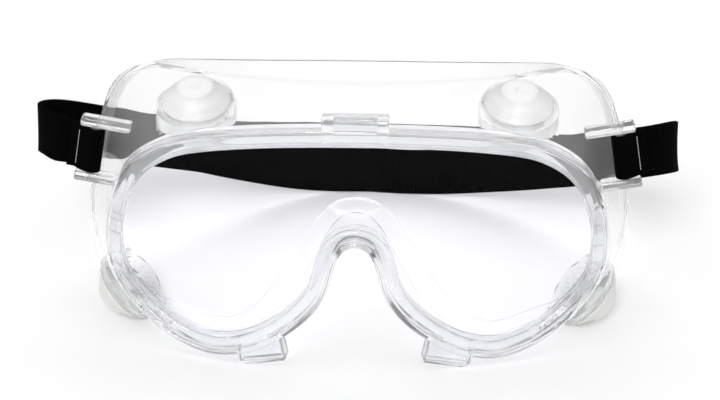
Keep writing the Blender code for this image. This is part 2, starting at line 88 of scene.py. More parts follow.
FLANGE_EDGE = [
    (0, 43, 33), (28, 41.5, 37), (52.5, 38.6, 45.5), (66, 36, 50), (75.5, 28.5, 53), (81, 16, 55),
    (84.5, 0, 55.5), (87, -14, 53), (88, -25, 48.5), (84, -35, 41.5), (73, -39, 35), (59, -39.5, 28),
    (45.5, -41.5, 21.3), (35.5, -38.5, 19.5), (28, -31.5, 19.5), (21.5, -21.5, 19.5), (15.5, -11, 19),
    (11.5, -4.5, 18.5), (6.5, 0.8, 17.6), (0, 2.8, 17),
]
WALL_BOW = 0.05

TOP_VENT_LEAN = math.radians(18.0)
VENTS = {
    "top": ((49.5, 31.2, 23.2), (0.0, math.cos(TOP_VENT_LEAN), -math.sin(TOP_VENT_LEAN))),
    "cheek": ((74.6, -34.0, 28.5), (0.77, -0.62, 0.0)),
}
BOSS_RADIUS = 12.4 * MM
BOSS_DEPTH = 6.0 * MM
SEAT_RECESS_RADIUS = 11.6 * MM
VENT_HOLE_RADIUS = 7.9 * MM
BEAD_ROOM_RADIUS = 9.2 * MM
BOSS_LIP = 0.2 * MM
BEAD_ROOM_GAP = 0.2 * MM
RECESS_REACH = 8.0 * MM
HOLE_REACH_OUT = 4.0 * MM
HOLE_REACH_IN = 14.0 * MM
TURNED_STEPS = 72

BAR_CENTRE = Vector((82.8, 15.2, 26.0)) * MM
BAR_TILT = math.radians(10.0)
BAR_RADIUS = 1.6 * MM
SLOT_HALF_LENGTH = 7.7 * MM
LUG_WIDTH = 5.0 * MM
LUG_THICKNESS = 3.0 * MM
LUG_OVERHANG = 4.6 * MM
LUG_ROOTS = {"upper": 11.0 * MM, "lower": 8.5 * MM}

STRAP_WIDTH = 18.0 * MM
SQUEEZED_WIDTH = 14.6 * MM
STRAP_THICKNESS = 1.4 * MM
LOOP_GAP = 0.3 * MM
LOOP_REACH = 8.4 * MM
TAIL_REACH = 7.6 * MM
BAND_LEAD = 2.4 * MM
SWELL_POINTS = 7.0
TWIST_POINTS = 5.0
BAND_ROUTE = [
    (-97.5, 32.5, 61.8), (-100.8, 37.5, 61.2), (-99.8, 44, 58.8), (-95.8, 50.5, 55.2),
    (-89.5, 56.5, 50.8), (-80, 64, 44.6), (-69.5, 70.5, 38.9), (-56, 80.5, 31.4), (-48, 86, 26.6),
    (-36.5, 93.8, 19.6), (-22, 101.3, 12.7), (-8, 105.6, 9.3), (3, 106, 9.1), (14, 105, 9.1),
    (28, 102.4, 10.6), (42, 97.6, 14.4), (55.5, 90, 20), (65, 83, 25.2), (74, 75, 30.8),
    (82.5, 66.5, 36.9), (90.5, 57.5, 43.6), (97, 48.5, 50), (100.4, 40.5, 55.6), (98.2, 33.2, 59.4),
]

# ---------------------------------------------------------------- material tools


class Nodes:
    """A material's node tree, with short calls to add and link nodes."""

    def __init__(self, name):
        self.material = bpy.data.materials.new(name)
        self.material.use_nodes = True
        self.tree = self.material.node_tree
        self.shader = self.tree.nodes["Principled BSDF"]
        self.output = self.tree.nodes["Material Output"]

    def add(self, kind, **settings):
        node = self.tree.nodes.new(kind)
        for key, value in settings.items():
            setattr(node, key, value)
        return node

    def link(self, source, target):
        self.tree.links.new(source, target)

    def set(self, **values):
        """Sets the shader's sockets, whose names have spaces where the keywords have underscores."""
        for key, value in values.items():
            self.shader.inputs[key.replace("_", " ")].default_value = value

    def math(self, operation, a, b=None):
        node = self.add("ShaderNodeMath", operation=operation)
        for socket, value in zip(node.inputs, (a, b)):
            if value is None:
                continue
            if isinstance(value, (int, float)):
                socket.default_value = value
            else:
                self.link(value, socket)
        return node.outputs[0]

    def noise(self, scale, detail=3.0):
        node = self.add("ShaderNodeTexNoise")
        node.inputs["Scale"].default_value = scale
        node.inputs["Detail"].default_value = detail
        coordinates = self.add("ShaderNodeTexCoord").outputs["Object"]
        self.link(coordinates, node.inputs["Vector"])
        return node.outputs["Fac"]

    def ramp(self, factor, low, high, low_colour, high_colour):
        node = self.add("ShaderNodeValToRGB")
        node.color_ramp.elements[0].position = low
        node.color_ramp.elements[0].color = (*low_colour, 1.0)
        node.color_ramp.elements[1].position = high
        node.color_ramp.elements[1].color = (*high_colour, 1.0)
        self.link(factor, node.inputs["Fac"])
        return node.outputs["Color"]

    def bump(self, height, distance, strength=1.0):
        node = self.add("ShaderNodeBump")
        node.inputs["Strength"].default_value = strength
        node.inputs["Distance"].default_value = distance
        self.link(height, node.inputs["Height"])
        self.link(node.outputs["Normal"], self.shader.inputs["Normal"])

    def let_lamps_through(self, tint):
        """Lamps shine through, tinted, instead of leaving a black shadow."""
        clear = self.add("ShaderNodeBsdfTransparent")
        clear.inputs["Color"].default_value = (*tint, 1.0)
        mix = self.add("ShaderNodeMixShader")
        path = self.add("ShaderNodeLightPath")
        self.link(path.outputs["Is Shadow Ray"], mix.inputs["Fac"])
        self.link(self.shader.outputs[0], mix.inputs[1])
        self.link(clear.outputs[0], mix.inputs[2])
        self.link(mix.outputs[0], self.output.inputs["Surface"])


def soft_pvc():
    nodes = Nodes("soft_clear_pvc")
    nodes.set(Base_Color=(0.915, 0.92, 0.923, 1.0), Roughness=0.05, IOR=1.45, Transmission_Weight=0.89)
    flow = nodes.noise(55.0, 2.0)
    grain = nodes.noise(900.0, 2.0)
    height = nodes.math("ADD", flow, nodes.math("MULTIPLY", grain, 0.04))
    nodes.bump(height, 0.0005, 0.4)
    nodes.let_lamps_through((0.93, 0.935, 0.94))
    return nodes.material


def thin_pvc(name, bending, clearness, roughness):
    """The same PVC where it's a thin wall: it bends light less and greys a little towards the top."""
    nodes = Nodes(name)
    nodes.set(Roughness=roughness, IOR=bending, Transmission_Weight=clearness)
    height = nodes.add("ShaderNodeSeparateXYZ")
    nodes.link(nodes.add("ShaderNodeTexCoord").outputs["Object"], height.inputs[0])
    tone = nodes.ramp(height.outputs["Z"], 0.035, 0.065, (0.985, 0.985, 0.988), (0.942, 0.943, 0.948))
    nodes.link(tone, nodes.shader.inputs["Base Color"])
    nodes.bump(nodes.noise(38.0, 2.0), 0.0012, 0.6)
    nodes.let_lamps_through((0.95, 0.952, 0.955))
    return nodes.material


def lens_polycarbonate():
    nodes = Nodes("clear_polycarbonate")
    nodes.set(Base_Color=(0.95, 0.947, 0.968, 1.0), Roughness=0.0, IOR=1.08, Transmission_Weight=1.0)
    nodes.bump(nodes.noise(30.0, 1.0), 0.00005, 0.3)
    nodes.let_lamps_through((0.96, 0.96, 0.985))
    return nodes.material


def hard_clear():
    nodes = Nodes("clear_hard_plastic")
    nodes.set(Base_Color=(0.985, 0.987, 0.985, 1.0), Roughness=0.05, IOR=1.03, Transmission_Weight=1.0)
    nodes.bump(nodes.noise(700.0, 2.0), 0.00008, 0.4)
    nodes.let_lamps_through((0.85, 0.86, 0.85))
    return nodes.material


def frosted_cap(name, low, high, clearness):
    nodes = Nodes(name)
    nodes.set(
        Roughness=0.38, IOR=1.45, Transmission_Weight=clearness, Subsurface_Weight=0.35,
        Subsurface_Scale=0.004, Coat_Weight=0.1, Coat_Roughness=0.3,
    )
    nodes.shader.inputs["Subsurface Radius"].default_value = (1.0, 1.0, 0.95)
    cloud = nodes.noise(260.0, 4.0)
    colour = nodes.ramp(cloud, 0.3, 0.7, low, high)
    nodes.link(colour, nodes.shader.inputs["Base Color"])
    nodes.bump(nodes.noise(2400.0, 3.0), 0.00006, 0.5)
    nodes.let_lamps_through((0.55, 0.55, 0.54))
    return nodes.material


def knitted_elastic():
    """Black elastic: fine chevron stitches down each cord, from the length and width coordinates."""
    nodes = Nodes("black_elastic")
    nodes.set(Roughness=0.85, Specular_IOR_Level=0.02)
    uv = nodes.add("ShaderNodeUVMap", uv_map="cloth").outputs["UV"]
    split = nodes.add("ShaderNodeSeparateXYZ")
    nodes.link(uv, split.inputs[0])
    along, across = split.outputs["X"], split.outputs["Y"]
    cord = nodes.math("MULTIPLY", across, 1.0 / CORD_PITCH)
    slope = nodes.math("ABSOLUTE", nodes.math("SUBTRACT", nodes.math("FRACT", cord), 0.5))
    phase = nodes.math("ADD", nodes.math("MULTIPLY", along, 1.0 / STITCH_PITCH), slope)
    wave = nodes.math("SINE", nodes.math("MULTIPLY", phase, 2 * math.pi))
    fuzz = nodes.noise(5200.0, 3.0)
    nodes.bump(nodes.math("ADD", wave, fuzz), 0.00009, 0.8)
    # The stitch wave lightens the black a touch along each stitch's crest, a painted highlight; the noise
    # varies the tone at random.
    tone = nodes.math("ADD", nodes.math("MULTIPLY", wave, 0.12), fuzz)
    colour = nodes.ramp(tone, 0.25, 0.85, (0.0005, 0.0005, 0.0006), (0.003, 0.003, 0.0033))
    nodes.link(colour, nodes.shader.inputs["Base Color"])
    return nodes.material


def sewing_thread():
    nodes = Nodes("sewing_thread")
    nodes.set(Roughness=0.7, Sheen_Weight=0.2)
    colour = nodes.ramp(nodes.noise(1800.0), 0.35, 0.65, (0.4, 0.4, 0.4), (0.62, 0.62, 0.6))
    nodes.link(colour, nodes.shader.inputs["Base Color"])
    nodes.bump(nodes.noise(4000.0), 0.0001, 0.6)
    return nodes.material


def white_floor():
    nodes = Nodes("studio_floor")
    nodes.set(Roughness=0.85, Specular_IOR_Level=0.1)
    colour = nodes.ramp(nodes.noise(3.0, 2.0), 0.2, 0.8, (0.93, 0.93, 0.932), (0.935, 0.935, 0.935))
    nodes.link(colour, nodes.shader.inputs["Base Color"])
    return nodes.material


# ---------------------------------------------------------------- mesh tools


def mesh_from(name, build):
    bm = bmesh.new()
    build(bm)
    bmesh.ops.recalc_face_normals(bm, faces=bm.faces)
    mesh = bpy.data.meshes.new(name)
    bm.to_mesh(mesh)
    bm.free()
    return mesh


def add_object(name, mesh, matrix=None):
    made = bpy.data.objects.new(name, mesh)
    bpy.context.scene.collection.objects.link(made)
    if matrix is not None:
        made.matrix_world = matrix
    return made


def apply_modifiers(made):
    """Replaces the mesh with its evaluated self, in world space."""
    bpy.context.view_layer.update()
    evaluated = made.evaluated_get(bpy.context.evaluated_depsgraph_get())
    mesh = bpy.data.meshes.new_from_object(evaluated)
    mesh.transform(made.matrix_world)
    made.modifiers.clear()
    made.data = mesh
    made.matrix_world = Matrix.Identity(4)
    return made


def carve(target, tools):
    """Joins and cuts the target with (object, operation) pairs, then removes the tools."""
    for tool, operation in tools:
        step = target.modifiers.new(tool.name, "BOOLEAN")
        step.operation = operation
        step.solver = "MANIFOLD"
        step.object = tool
    apply_modifiers(target)
    for tool, _ in tools:
        bpy.data.objects.remove(tool, do_unlink=True)


def finish_piece(made, material, body, sharp):
    """Gives a piece its material, slot and body, smooth but for edges above sharp degrees."""
    made.data.materials.clear()
    made.data.materials.append(material)
    made.data.shade_smooth()
    made.data.set_sharp_from_angle(angle=math.radians(sharp))
    if body:
        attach(made, body)
    return made


def spline_slopes(knots, closed):
    count = len(knots)
    system = np.zeros((count, count))
    right = 3.0 * (np.roll(knots, -1, 0) - np.roll(knots, 1, 0))
    for i in range(count):
        system[i, i] = 4.0
        system[i, (i - 1) % count] = 1.0
        system[i, (i + 1) % count] = 1.0
    if not closed:
        system[0] = 0.0
        system[-1] = 0.0
        system[0, :2] = (2.0, 1.0)
        system[-1, -2:] = (1.0, 2.0)
        right[0] = 3.0 * (knots[1] - knots[0])
        right[-1] = 3.0 * (knots[-1] - knots[-2])
    return np.linalg.solve(system, right)


def spline(points, per_point, closed):
    """A smooth cubic curve through points, sampled per_point times between each pair."""
    knots = np.array(points, float)
    slopes = spline_slopes(knots, closed)
    samples = []
    spans = len(knots) if closed else len(knots) - 1
    for i in range(spans):
        k = (i + 1) % len(knots)
        for step in range(per_point):
            t = step / per_point
            samples.append(
                knots[i] * (2 * t**3 - 3 * t**2 + 1)
                + slopes[i] * (t**3 - 2 * t**2 + t)
                + knots[k] * (3 * t**2 - 2 * t**3)
                + slopes[k] * (t**3 - t**2)
            )
    if not closed:
        samples.append(knots[-1])
    return np.array(samples)


def whole_outline(half):
    mirrored = [(-p[0], *p[1:]) for p in half[-2:0:-1]]
    return spline(list(half) + mirrored, STATIONS_PER_POINT, True) * MM


def outward_normals(outline):
    along = np.roll(outline, -1, 0) - np.roll(outline, 1, 0)
    normals = np.stack([-along[:, 1], along[:, 0]], 1)
    return normals / np.linalg.norm(normals, axis=1)[:, None]


def lens_depth(u):
    return LENS_RADIUS - np.sqrt(LENS_RADIUS**2 - np.asarray(u) ** 2)


def on_lens(outline, normals, offset, depth):
    moved = outline + normals * offset
    return np.column_stack([moved, lens_depth(moved[:, 0]) + depth])


CORNER_STEPS = 6
POCKET_CORNER = 0.7 * MM
POCKET_OUTER_CORNER = 3.6 * MM
POCKET_EDGE = 0.5 * MM
LUG_EDGE = 0.8 * MM
RIM_NOTCHES = [
    (-78.6, 0.0), (-79.2, -4.5), (-79.4, -9.0), (-72.0, -31.0), (-69.0, -34.0), (-60.5, -40.5),
    (79.2, -3.5), (79.4, -7.0), (79.2, -12.0), (73.0, -30.0), (69.5, -33.6), (60.5, -40.5),
]
NOTCH_OFFSET = -3.7 * MM
NOTCH_DEPTH = -1.95 * MM
NOTCH_SIZE = (3.6 * MM, 0.7 * MM, 0.55 * MM)


def in_goggles(point):
    return Vector((point[0], point[2], point[1]))


def block(name, size, matrix, round_off=0.0):
    def build(bm):
        bmesh.ops.create_cube(bm, size=1.0)
        bmesh.ops.scale(bm, vec=size, verts=bm.verts)
        if round_off:
            bmesh.ops.bevel(
                bm, geom=bm.edges[:], offset=round_off, segments=3, profile=0.5, affect="EDGES"
            )

    return add_object(name, mesh_from(name, build), matrix)


def rod(name, radius, low, high, matrix, steps=TURNED_STEPS):
    def build(bm):
        bmesh.ops.create_cone(
            bm, cap_ends=True, segments=steps, radius1=radius, radius2=radius, depth=high - low
        )
        bmesh.ops.translate(bm, vec=(0, 0, (low + high) / 2), verts=bm.verts)

    return add_object(name, mesh_from(name, build), matrix)


# ---------------------------------------------------------------- frame

# Section of the rim: offset outward from the outline and depth behind the lens's front, in mm.
# A raised bead runs round the outer edge and a shallow channel inside it.
RIM_FRONT = [
    (-6.0, 0.5), (-6.0, -1.0), (-5.6, -1.7), (-5.0, -1.95), (-2.6, -1.95), (-2.2, -1.7), (-1.8, -1.75),
    (-1.5, -2.2), (-0.8, -2.25), (-0.15, -1.8), (0.0, -1.0), (0.0, 3.4), (-0.3, 4.3), (-1.0, 4.8),
]
RIM_BACK = [(-3.4, 4.8), (-5.2, 4.5), (-5.9, 4.1), (-6.0, 3.4)]
WALL_STEPS = (0.12, 0.35, 0.6, 0.82, 0.93, 0.975)
FLANGE_STEPS = (0.045, 0.12, 0.35, 0.65, 0.93)
EDGE_BEAD = 0.35 * MM
FOLD_RIDGE = 0.55 * MM


def inward_normals(grid):
    across = np.gradient(grid, axis=0)
    along = np.roll(grid, -1, 1) - np.roll(grid, 1, 1)
    normals = np.cross(along, across)
    return normals / np.linalg.norm(normals, axis=2)[:, :, None]


def frame_sections():
    """Closed sections through rim, wall and flange, one row for each point of a section."""
    rim = whole_outline(RIM)
    normals = outward_normals(rim)
    fold = whole_outline(FOLD)
    edge = whole_outline(FLANGE_EDGE)
    front = [on_lens(rim, normals, n * MM, d * MM) for n, d in RIM_FRONT]
    back = [on_lens(rim, normals, n * MM, d * MM) for n, d in RIM_BACK]
    start = front[-1]
    run = fold - start
    bow = np.zeros_like(run)
    bow[:, :2] = -normals * np.linalg.norm(run, axis=1)[:, None] * WALL_BOW
    wall = [start + run * s + bow * 4 * s * (1 - s) for s in WALL_STEPS]
    flange = [fold + (edge - fold) * s for s in FLANGE_STEPS]
    outer = np.array([start, *wall, fold, *flange, edge])
    inward = inward_normals(outer)
    lining = [outer[j] + inward[j] * WALL_THICKNESS for j in range(len(outer) - 1, 0, -1)]
    crest = fold - inward[len(wall) + 1] * FOLD_RIDGE
    tip_run = outer[-1] - outer[-2]
    tip_run /= np.linalg.norm(tip_run, axis=1)[:, None]
    tip = outer[-1] + inward[-1] * WALL_THICKNESS / 2 + tip_run * EDGE_BEAD
    return [*front, *wall, crest, *flange, edge, tip, *lining, *back]


def loft(bm, rows):
    rings = [[bm.verts.new(p) for p in np.asarray(row)[:, [0, 2, 1]]] for row in rows]
    count = len(rings[0])
    for j, ring in enumerate(rings):
        following = rings[(j + 1) % len(rings)]
        for i in range(count):
            k = (i + 1) % count
            bm.faces.new((ring[i], ring[k], following[k], following[i]))


def vent_matrix(place, side):
    centre, axis = VENTS[place]
    position = in_goggles(centre) * MM
    direction = in_goggles(axis)
    position.x *= side
    direction.x *= side
    turn = direction.to_track_quat("Z", "Y").to_matrix().to_4x4()
    return HOLDER @ Matrix.Translation(position) @ turn


def bar_matrix(side):
    position = in_goggles(BAR_CENTRE)
    position.x *= side
    return HOLDER @ Matrix.Translation(position) @ Matrix.Rotation(-BAR_TILT * side, 4, "Y")


def tab_matrix(name):
    u, v, turn, _ = TABS[name]
    position = Vector((u * MM, float(lens_depth(u * MM)) + LENS_THICKNESS / 2, v * MM))
    swing = Matrix.Rotation(math.asin(u * MM / LENS_RADIUS), 4, "Z")
    turned = Matrix.Rotation(math.radians(-turn), 4, "Y")
    return HOLDER @ Matrix.Translation(position) @ turned @ swing


def lug_tools(side_name, side):
    tools = []
    matrix = bar_matrix(side)
    length = SLOT_HALF_LENGTH + LUG_THICKNESS / 2
    for end_name, root in LUG_ROOTS.items():
        end = 1 if end_name == "upper" else -1
        shift = Matrix.Translation((side * (LUG_OVERHANG - root) / 2, 0, end * length))
        size = (LUG_OVERHANG + root, LUG_WIDTH, LUG_THICKNESS)
        lug = block(f"lug_{end_name}_{side_name}", size, matrix @ shift, LUG_EDGE)
        tools.append((lug, "UNION"))
    tools.append((rod(f"bar_{side_name}", BAR_RADIUS, -length, length, matrix, 32), "UNION"))
    return tools


def vent_tools(place, side_name, side):
    matrix = vent_matrix(place, side)
    name = f"{place}_{side_name}"
    far = HOLE_REACH_IN
    room_start = -BOSS_DEPTH - BEAD_ROOM_GAP
    return [
        (rod(f"boss_{name}", BOSS_RADIUS, -BOSS_DEPTH, BOSS_LIP, matrix), "UNION"),
        (rod(f"recess_{name}", SEAT_RECESS_RADIUS, 0, RECESS_REACH, matrix), "DIFFERENCE"),
        (rod(f"hole_{name}", VENT_HOLE_RADIUS, -far, HOLE_REACH_OUT, matrix), "DIFFERENCE"),
        (rod(f"room_{name}", BEAD_ROOM_RADIUS, -far, room_start, matrix), "DIFFERENCE"),
    ]


def pocket_tools():
    tools = []
    for name, (_, _, _, width) in TABS.items():
        depth = LENS_THICKNESS + 2 * POCKET_WALL + LENS_GAP
        outward = -1 if name.startswith("bottom") else 1
        shift = Matrix.Translation((0, 0, outward * POCKET_WALL / 2))
        height = TAB_SIZE.y + POCKET_WALL
        radii = [POCKET_CORNER] * 4
        if name == "bottom_left":
            radii[0] = POCKET_OUTER_CORNER
        if name == "bottom_right":
            radii[1] = POCKET_OUTER_CORNER
        mesh = mesh_from(
            f"pocket_{name}", lambda bm: rounded_plate(bm, width * MM, height, depth, radii)
        )
        tools.append((add_object(f"pocket_{name}", mesh, tab_matrix(name) @ shift), "UNION"))
    return tools


def notch_tools():
    """Short cross marks moulded across the rim's front."""
    outline = whole_outline(RIM)
    normals = outward_normals(outline)
    tools = []
    for number, (u, v) in enumerate(RIM_NOTCHES):
        index = int(np.argmin(np.hypot(outline[:, 0] - u * MM, outline[:, 1] - v * MM)))
        normal = normals[index]
        middle = outline[index] + normal * NOTCH_OFFSET
        depth = float(lens_depth(middle[0])) + NOTCH_DEPTH
        across = Vector((normal[0], 0, normal[1]))
        slope = math.asin(middle[0] / LENS_RADIUS)
        swing = Matrix.Rotation(slope, 4, "Z")
        turned = Matrix.Rotation(-math.atan2(across.z, across.x), 4, "Y")
        placed = HOLDER @ Matrix.Translation((middle[0], depth, middle[1])) @ swing @ turned
        tools.append((block(f"notch_{number}", NOTCH_SIZE, placed), "DIFFERENCE"))
    return tools


def rounded_plate(bm, width, height, depth, radii):
    """A plate in x and z with its own radius at each corner, from the bottom left anticlockwise."""
    ring = []
    corners = ((-1, -1), (1, -1), (1, 1), (-1, 1))
    for number, ((cx, cz), radius) in enumerate(zip(corners, radii)):
        for step in range(CORNER_STEPS + 1):
            angle = math.pi * (1 + number / 2) + math.pi / 2 * step / CORNER_STEPS
            x = cx * (width / 2 - radius) + radius * math.cos(angle)
            z = cz * (height / 2 - radius) + radius * math.sin(angle)
            ring.append(bm.verts.new((x, -depth / 2, z)))
    front = bm.faces.new(ring)
    grown = bmesh.ops.extrude_face_region(bm, geom=[front])
    moved = [g for g in grown["geom"] if isinstance(g, bmesh.types.BMVert)]
    bmesh.ops.translate(bm, vec=(0, depth, 0), verts=moved)
    rims = [e for e in bm.edges if abs(e.verts[0].co.y - e.verts[1].co.y) < depth / 2]
    bmesh.ops.bevel(bm, geom=rims, offset=POCKET_EDGE, segments=3, profile=0.5, affect="EDGES")


def bent_sheet(bm):
    """A wide strip bent to the lens's cylinder, taller than the lens."""
    columns = 120
    half_width = 80 * MM
    low, high = -52 * MM, 40 * MM
    rows = []
    for i in range(columns + 1):
        u = half_width * (2 * i / columns - 1)
        depth = float(lens_depth(u))
        rows.append([bm.verts.new((u, depth, v)) for v in (low, high)])
    for a, b in zip(rows, rows[1:]):
        bm.faces.new((a[0], b[0], b[1], a[1]))


def outline_prism(bm, inset):
    """The rim's outline drawn in by inset, stood up from in front of the sheet to behind it."""
    front, length = -10 * MM, 50 * MM
    rim = whole_outline(RIM)
    edge = rim - outward_normals(rim) * inset
    ring = [bm.verts.new((u, front, v)) for u, v in edge]
    grown = bmesh.ops.extrude_face_region(bm, geom=[bm.faces.new(ring)])
    moved = [g for g in grown["geom"] if isinstance(g, bmesh.types.BMVert)]
    bmesh.ops.translate(bm, vec=(0, length, 0), verts=moved)


def lens_shape(name, grow):
    """The tabbed lens, or with grow above 0 the space that holds it with that gap all round."""
    mesh = mesh_from(name, bent_sheet)
    shape = add_object(name, mesh, HOLDER @ Matrix.Translation((0, -grow, 0)))
    thick = shape.modifiers.new("thickness", "SOLIDIFY")
    thick.thickness = LENS_THICKNESS + 2 * grow
    thick.offset = -1.0
    apply_modifiers(shape)
    prism = mesh_from(f"{name}_outline", lambda bm: outline_prism(bm, LENS_INSET - grow))
    outline = add_object(f"{name}_outline", prism, HOLDER)
    through = 6 * LENS_THICKNESS
    tabs = []
    for tab_name in TABS:
        size = (TAB_SIZE.x + 2 * grow, through, TAB_SIZE.y + 2 * grow)
        tabs.append((block(f"{name}_tab_{tab_name}", size, tab_matrix(tab_name)), "UNION"))
    carve(outline, tabs)
    carve(shape, [(outline, "INTERSECT")])
    return shape


# Where one of the frame's materials gives way to the next
WALL_START = 5.0 * MM
SIDE_WALL_REACH = 79.0 * MM
LUG_MIN_REACH = 79.0 * MM
LUG_ZONE = 1.6 * SLOT_HALF_LENGTH
CHEEK_BOSS_SHOWN = 2.0 * MM
BOSS_MARGIN = 0.3 * MM


def frame_material(centre):
    """0 on the rim, a pocket or a lug, 1 on the upper thin wall, 2 on the lower one, 3 on a boss."""
    u, w, v = HOLDER.inverted() @ centre
    near_bar = abs(w - BAR_CENTRE.z) < LUG_WIDTH and abs(v - BAR_CENTRE.y) < LUG_ZONE
    if w < lens_depth(u) + WALL_START or (near_bar and abs(u) > LUG_MIN_REACH):
        return 0
    if on_boss("top", centre, -BOSS_DEPTH) or on_boss("cheek", centre, -CHEEK_BOSS_SHOWN):
        return 3
    return 1 if v > 0 or abs(u) > SIDE_WALL_REACH else 2


def on_boss(place, centre, lowest):
    """Whether a point is on one of the bosses at that place, above lowest along its axis."""
    side = 1 if centre.x > 0 else -1
    x, y, z = vent_matrix(place, side).inverted() @ centre
    return z > lowest - BOSS_MARGIN and math.hypot(x, y) < BOSS_RADIUS + BOSS_MARGIN


def make_frame(finish, wall_finishes):
    made = add_object("clear_frame", mesh_from("clear_frame", lambda bm: loft(bm, frame_sections())), HOLDER)
    smooth = made.modifiers.new("smooth", "SUBSURF")
    smooth.levels = 1
    smooth.render_levels = 1
    apply_modifiers(made)
    tools = []
    for side_name, side in SIDES.items():
        for place in VENTS:
            tools += vent_tools(place, side_name, side)
        tools += lug_tools(side_name, side)
    tools += pocket_tools()
    tools += notch_tools()
    tools.append((lens_shape("lens_space", LENS_GAP), "DIFFERENCE"))
    cut_size = (0.3, 0.3, 0.02)
    floor_cut = block("floor_cut", cut_size, Matrix.Translation((0, 0, -cut_size[2] / 2)))
    tools.append((floor_cut, "DIFFERENCE"))
    carve(made, tools)
    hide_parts("goggle_frame")
    finish_piece(made, finish, "goggles", 32.0)
    for wall_finish in wall_finishes:
        made.data.materials.append(wall_finish)
    for face in made.data.polygons:
        face.material_index = frame_material(face.center)
    return made


def make_lens(finish):
    made = lens_shape("clear_lens", 0.0)
    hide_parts("lens")
    return finish_piece(made, finish, "goggles", 30.0)


# ---------------------------------------------------------------- vents

# Turned profiles, (radius, height above the boss face) in millimetres, down the outer side
SEAT_PROFILE = [
    (0, -6.8), (6.2, -6.8), (6.2, 3.1), (6.9, 3.1), (7.2, 2.6), (6.9, 2.1), (6.9, 1.2), (10.9, 1.2),
    (11.3, 0.9), (11.3, 0.3), (7.5, 0.3), (7.5, -6.4), (8.5, -6.5), (8.5, -7.0), (7.4, -8.0), (0, -8.0),
]
CAP_PROFILE = [
    (0, 7.0), (0.8, 7.0), (1.1, 7.15), (1.4, 7.35), (2.0, 7.4), (5.0, 7.4), (5.5, 7.3), (5.85, 7.0),
    (6.05, 6.5), (6.25, 6.1), (7.0, 5.45), (7.15, 5.2), (7.45, 5.0), (8.4, 4.25), (8.6, 3.95),
    (8.95, 3.75), (9.7, 3.1), (9.9, 2.8), (10.2, 2.6), (10.6, 2.1), (10.7, 1.6),
    (9.9, 1.6), (8.7, 2.9), (8.3, 1.8), (7.5, 1.8), (7.5, 3.4), (5.0, 5.2), (4.8, 6.3), (0, 6.2),
]
GRILLE_HOLE_RADIUS = 1.3 * MM
GRILLE_RING_RADIUS = 3.8 * MM
GRILLE_BOTTOM = -9.0 * MM
GRILLE_TOP = -6.0 * MM
GRILLE_HOLE_STEPS = 24
CAP_RIBS = 16
RIB_SIZE = (2.4 * MM, 0.55 * MM, 0.7 * MM)
RIB_EDGE = 0.15 * MM
# The middle of a rib on the skirt, and how far the skirt leans there
RIB_PLACE = (8.9 * MM, 0, 3.45 * MM)
RIB_LEAN = math.radians(38.0)


def turned(name, profile, matrix):
    def build(bm):
        wire = [bm.verts.new((r * MM, 0, z * MM)) for r, z in profile]
        edges = [bm.edges.new(pair) for pair in zip(wire, wire[1:])]
        bmesh.ops.spin(
            bm, geom=wire + edges, cent=(0, 0, 0), axis=(0, 0, 1), angle=2 * math.pi,
            steps=TURNED_STEPS, use_merge=True,
        )
        bmesh.ops.remove_doubles(bm, verts=bm.verts, dist=0.000005)

    return add_object(name, mesh_from(name, build), matrix)


def make_seat(place, side_name, side, finish):
    """A clear seat with seven air holes through its floor."""
    matrix = vent_matrix(place, side)
    name = f"vent_seat_{place}_{side_name}"
    made = turned(f"{name}_moulded", SEAT_PROFILE, matrix)
    apply_modifiers(made)
    centres = [Vector((0, 0, 0))]
    for step in range(6):
        angle = step * math.pi / 3
        centres.append(Vector((math.cos(angle), math.sin(angle), 0)) * GRILLE_RING_RADIUS)
    tools = []
    for number, centre in enumerate(centres):
        placed = matrix @ Matrix.Translation(centre)
        hole = rod(
            f"{name}_hole_{number}", GRILLE_HOLE_RADIUS, GRILLE_BOTTOM, GRILLE_TOP, placed,
            GRILLE_HOLE_STEPS,
        )
        tools.append((hole, "DIFFERENCE"))
    carve(made, tools)
    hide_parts(name)
    return finish_piece(made, finish, "goggles", 30.0)


def make_cap(place, side_name, side, finish):
    """A milky cap with a dished top, and short ribs down its skirt."""
    matrix = vent_matrix(place, side)
    name = f"vent_cap_{place}_{side_name}"
    made = turned(f"{name}_moulded", CAP_PROFILE, matrix)
    apply_modifiers(made)
    tools = []
    for number in range(CAP_RIBS):
        turn = Matrix.Rotation(2 * math.pi * number / CAP_RIBS, 4, "Z")
        lean = Matrix.Rotation(RIB_LEAN, 4, "Y")
        placed = matrix @ turn @ Matrix.Translation(RIB_PLACE) @ lean
        rib = block(f"{name}_rib_{number}", RIB_SIZE, placed, RIB_EDGE)
        tools.append((rib, "UNION"))
    carve(made, tools)
    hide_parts(name)
    return finish_piece(made, finish, f"cap_{place}_{side_name}", 40.0)


# ---------------------------------------------------------------- strap

CORDS = 20
CORD_PITCH = STRAP_WIDTH / CORDS
STITCH_PITCH = 1.1 * MM
CORD_DEPTH = 0.11 * MM
PICOT_DEPTH = 0.3 * MM
STATION_STEP = 0.55 * MM
POINTS_PER_CORD = 3
# The cloth thins towards its edges by this share of its thickness. A higher fall-off keeps the
# thinning closer to the edge.
EDGE_THINNING = 0.28
EDGE_FALLOFF = 2.2
# Only points past this share of the half width move in and out with the edge's loops
PICOT_START = 0.97


def cloth_section():
    """Half-width share and thickness offset round one section of ribbed elastic."""
    per_face = CORDS * POINTS_PER_CORD
    front = []
    for i in range(per_face + 1):
        share = i / per_face
        ripple = -CORD_DEPTH * (0.5 + 0.5 * math.cos(2 * math.pi * share * CORDS))
        edge = min(share, 1 - share) * CORDS
        roll = -EDGE_THINNING * STRAP_THICKNESS * max(0.0, 1 - edge * EDGE_FALLOFF) ** 2
        front.append((2 * share - 1, STRAP_THICKNESS / 2 + ripple + roll))
    back = [(a, -b) for a, b in reversed(front)]
    return front + back


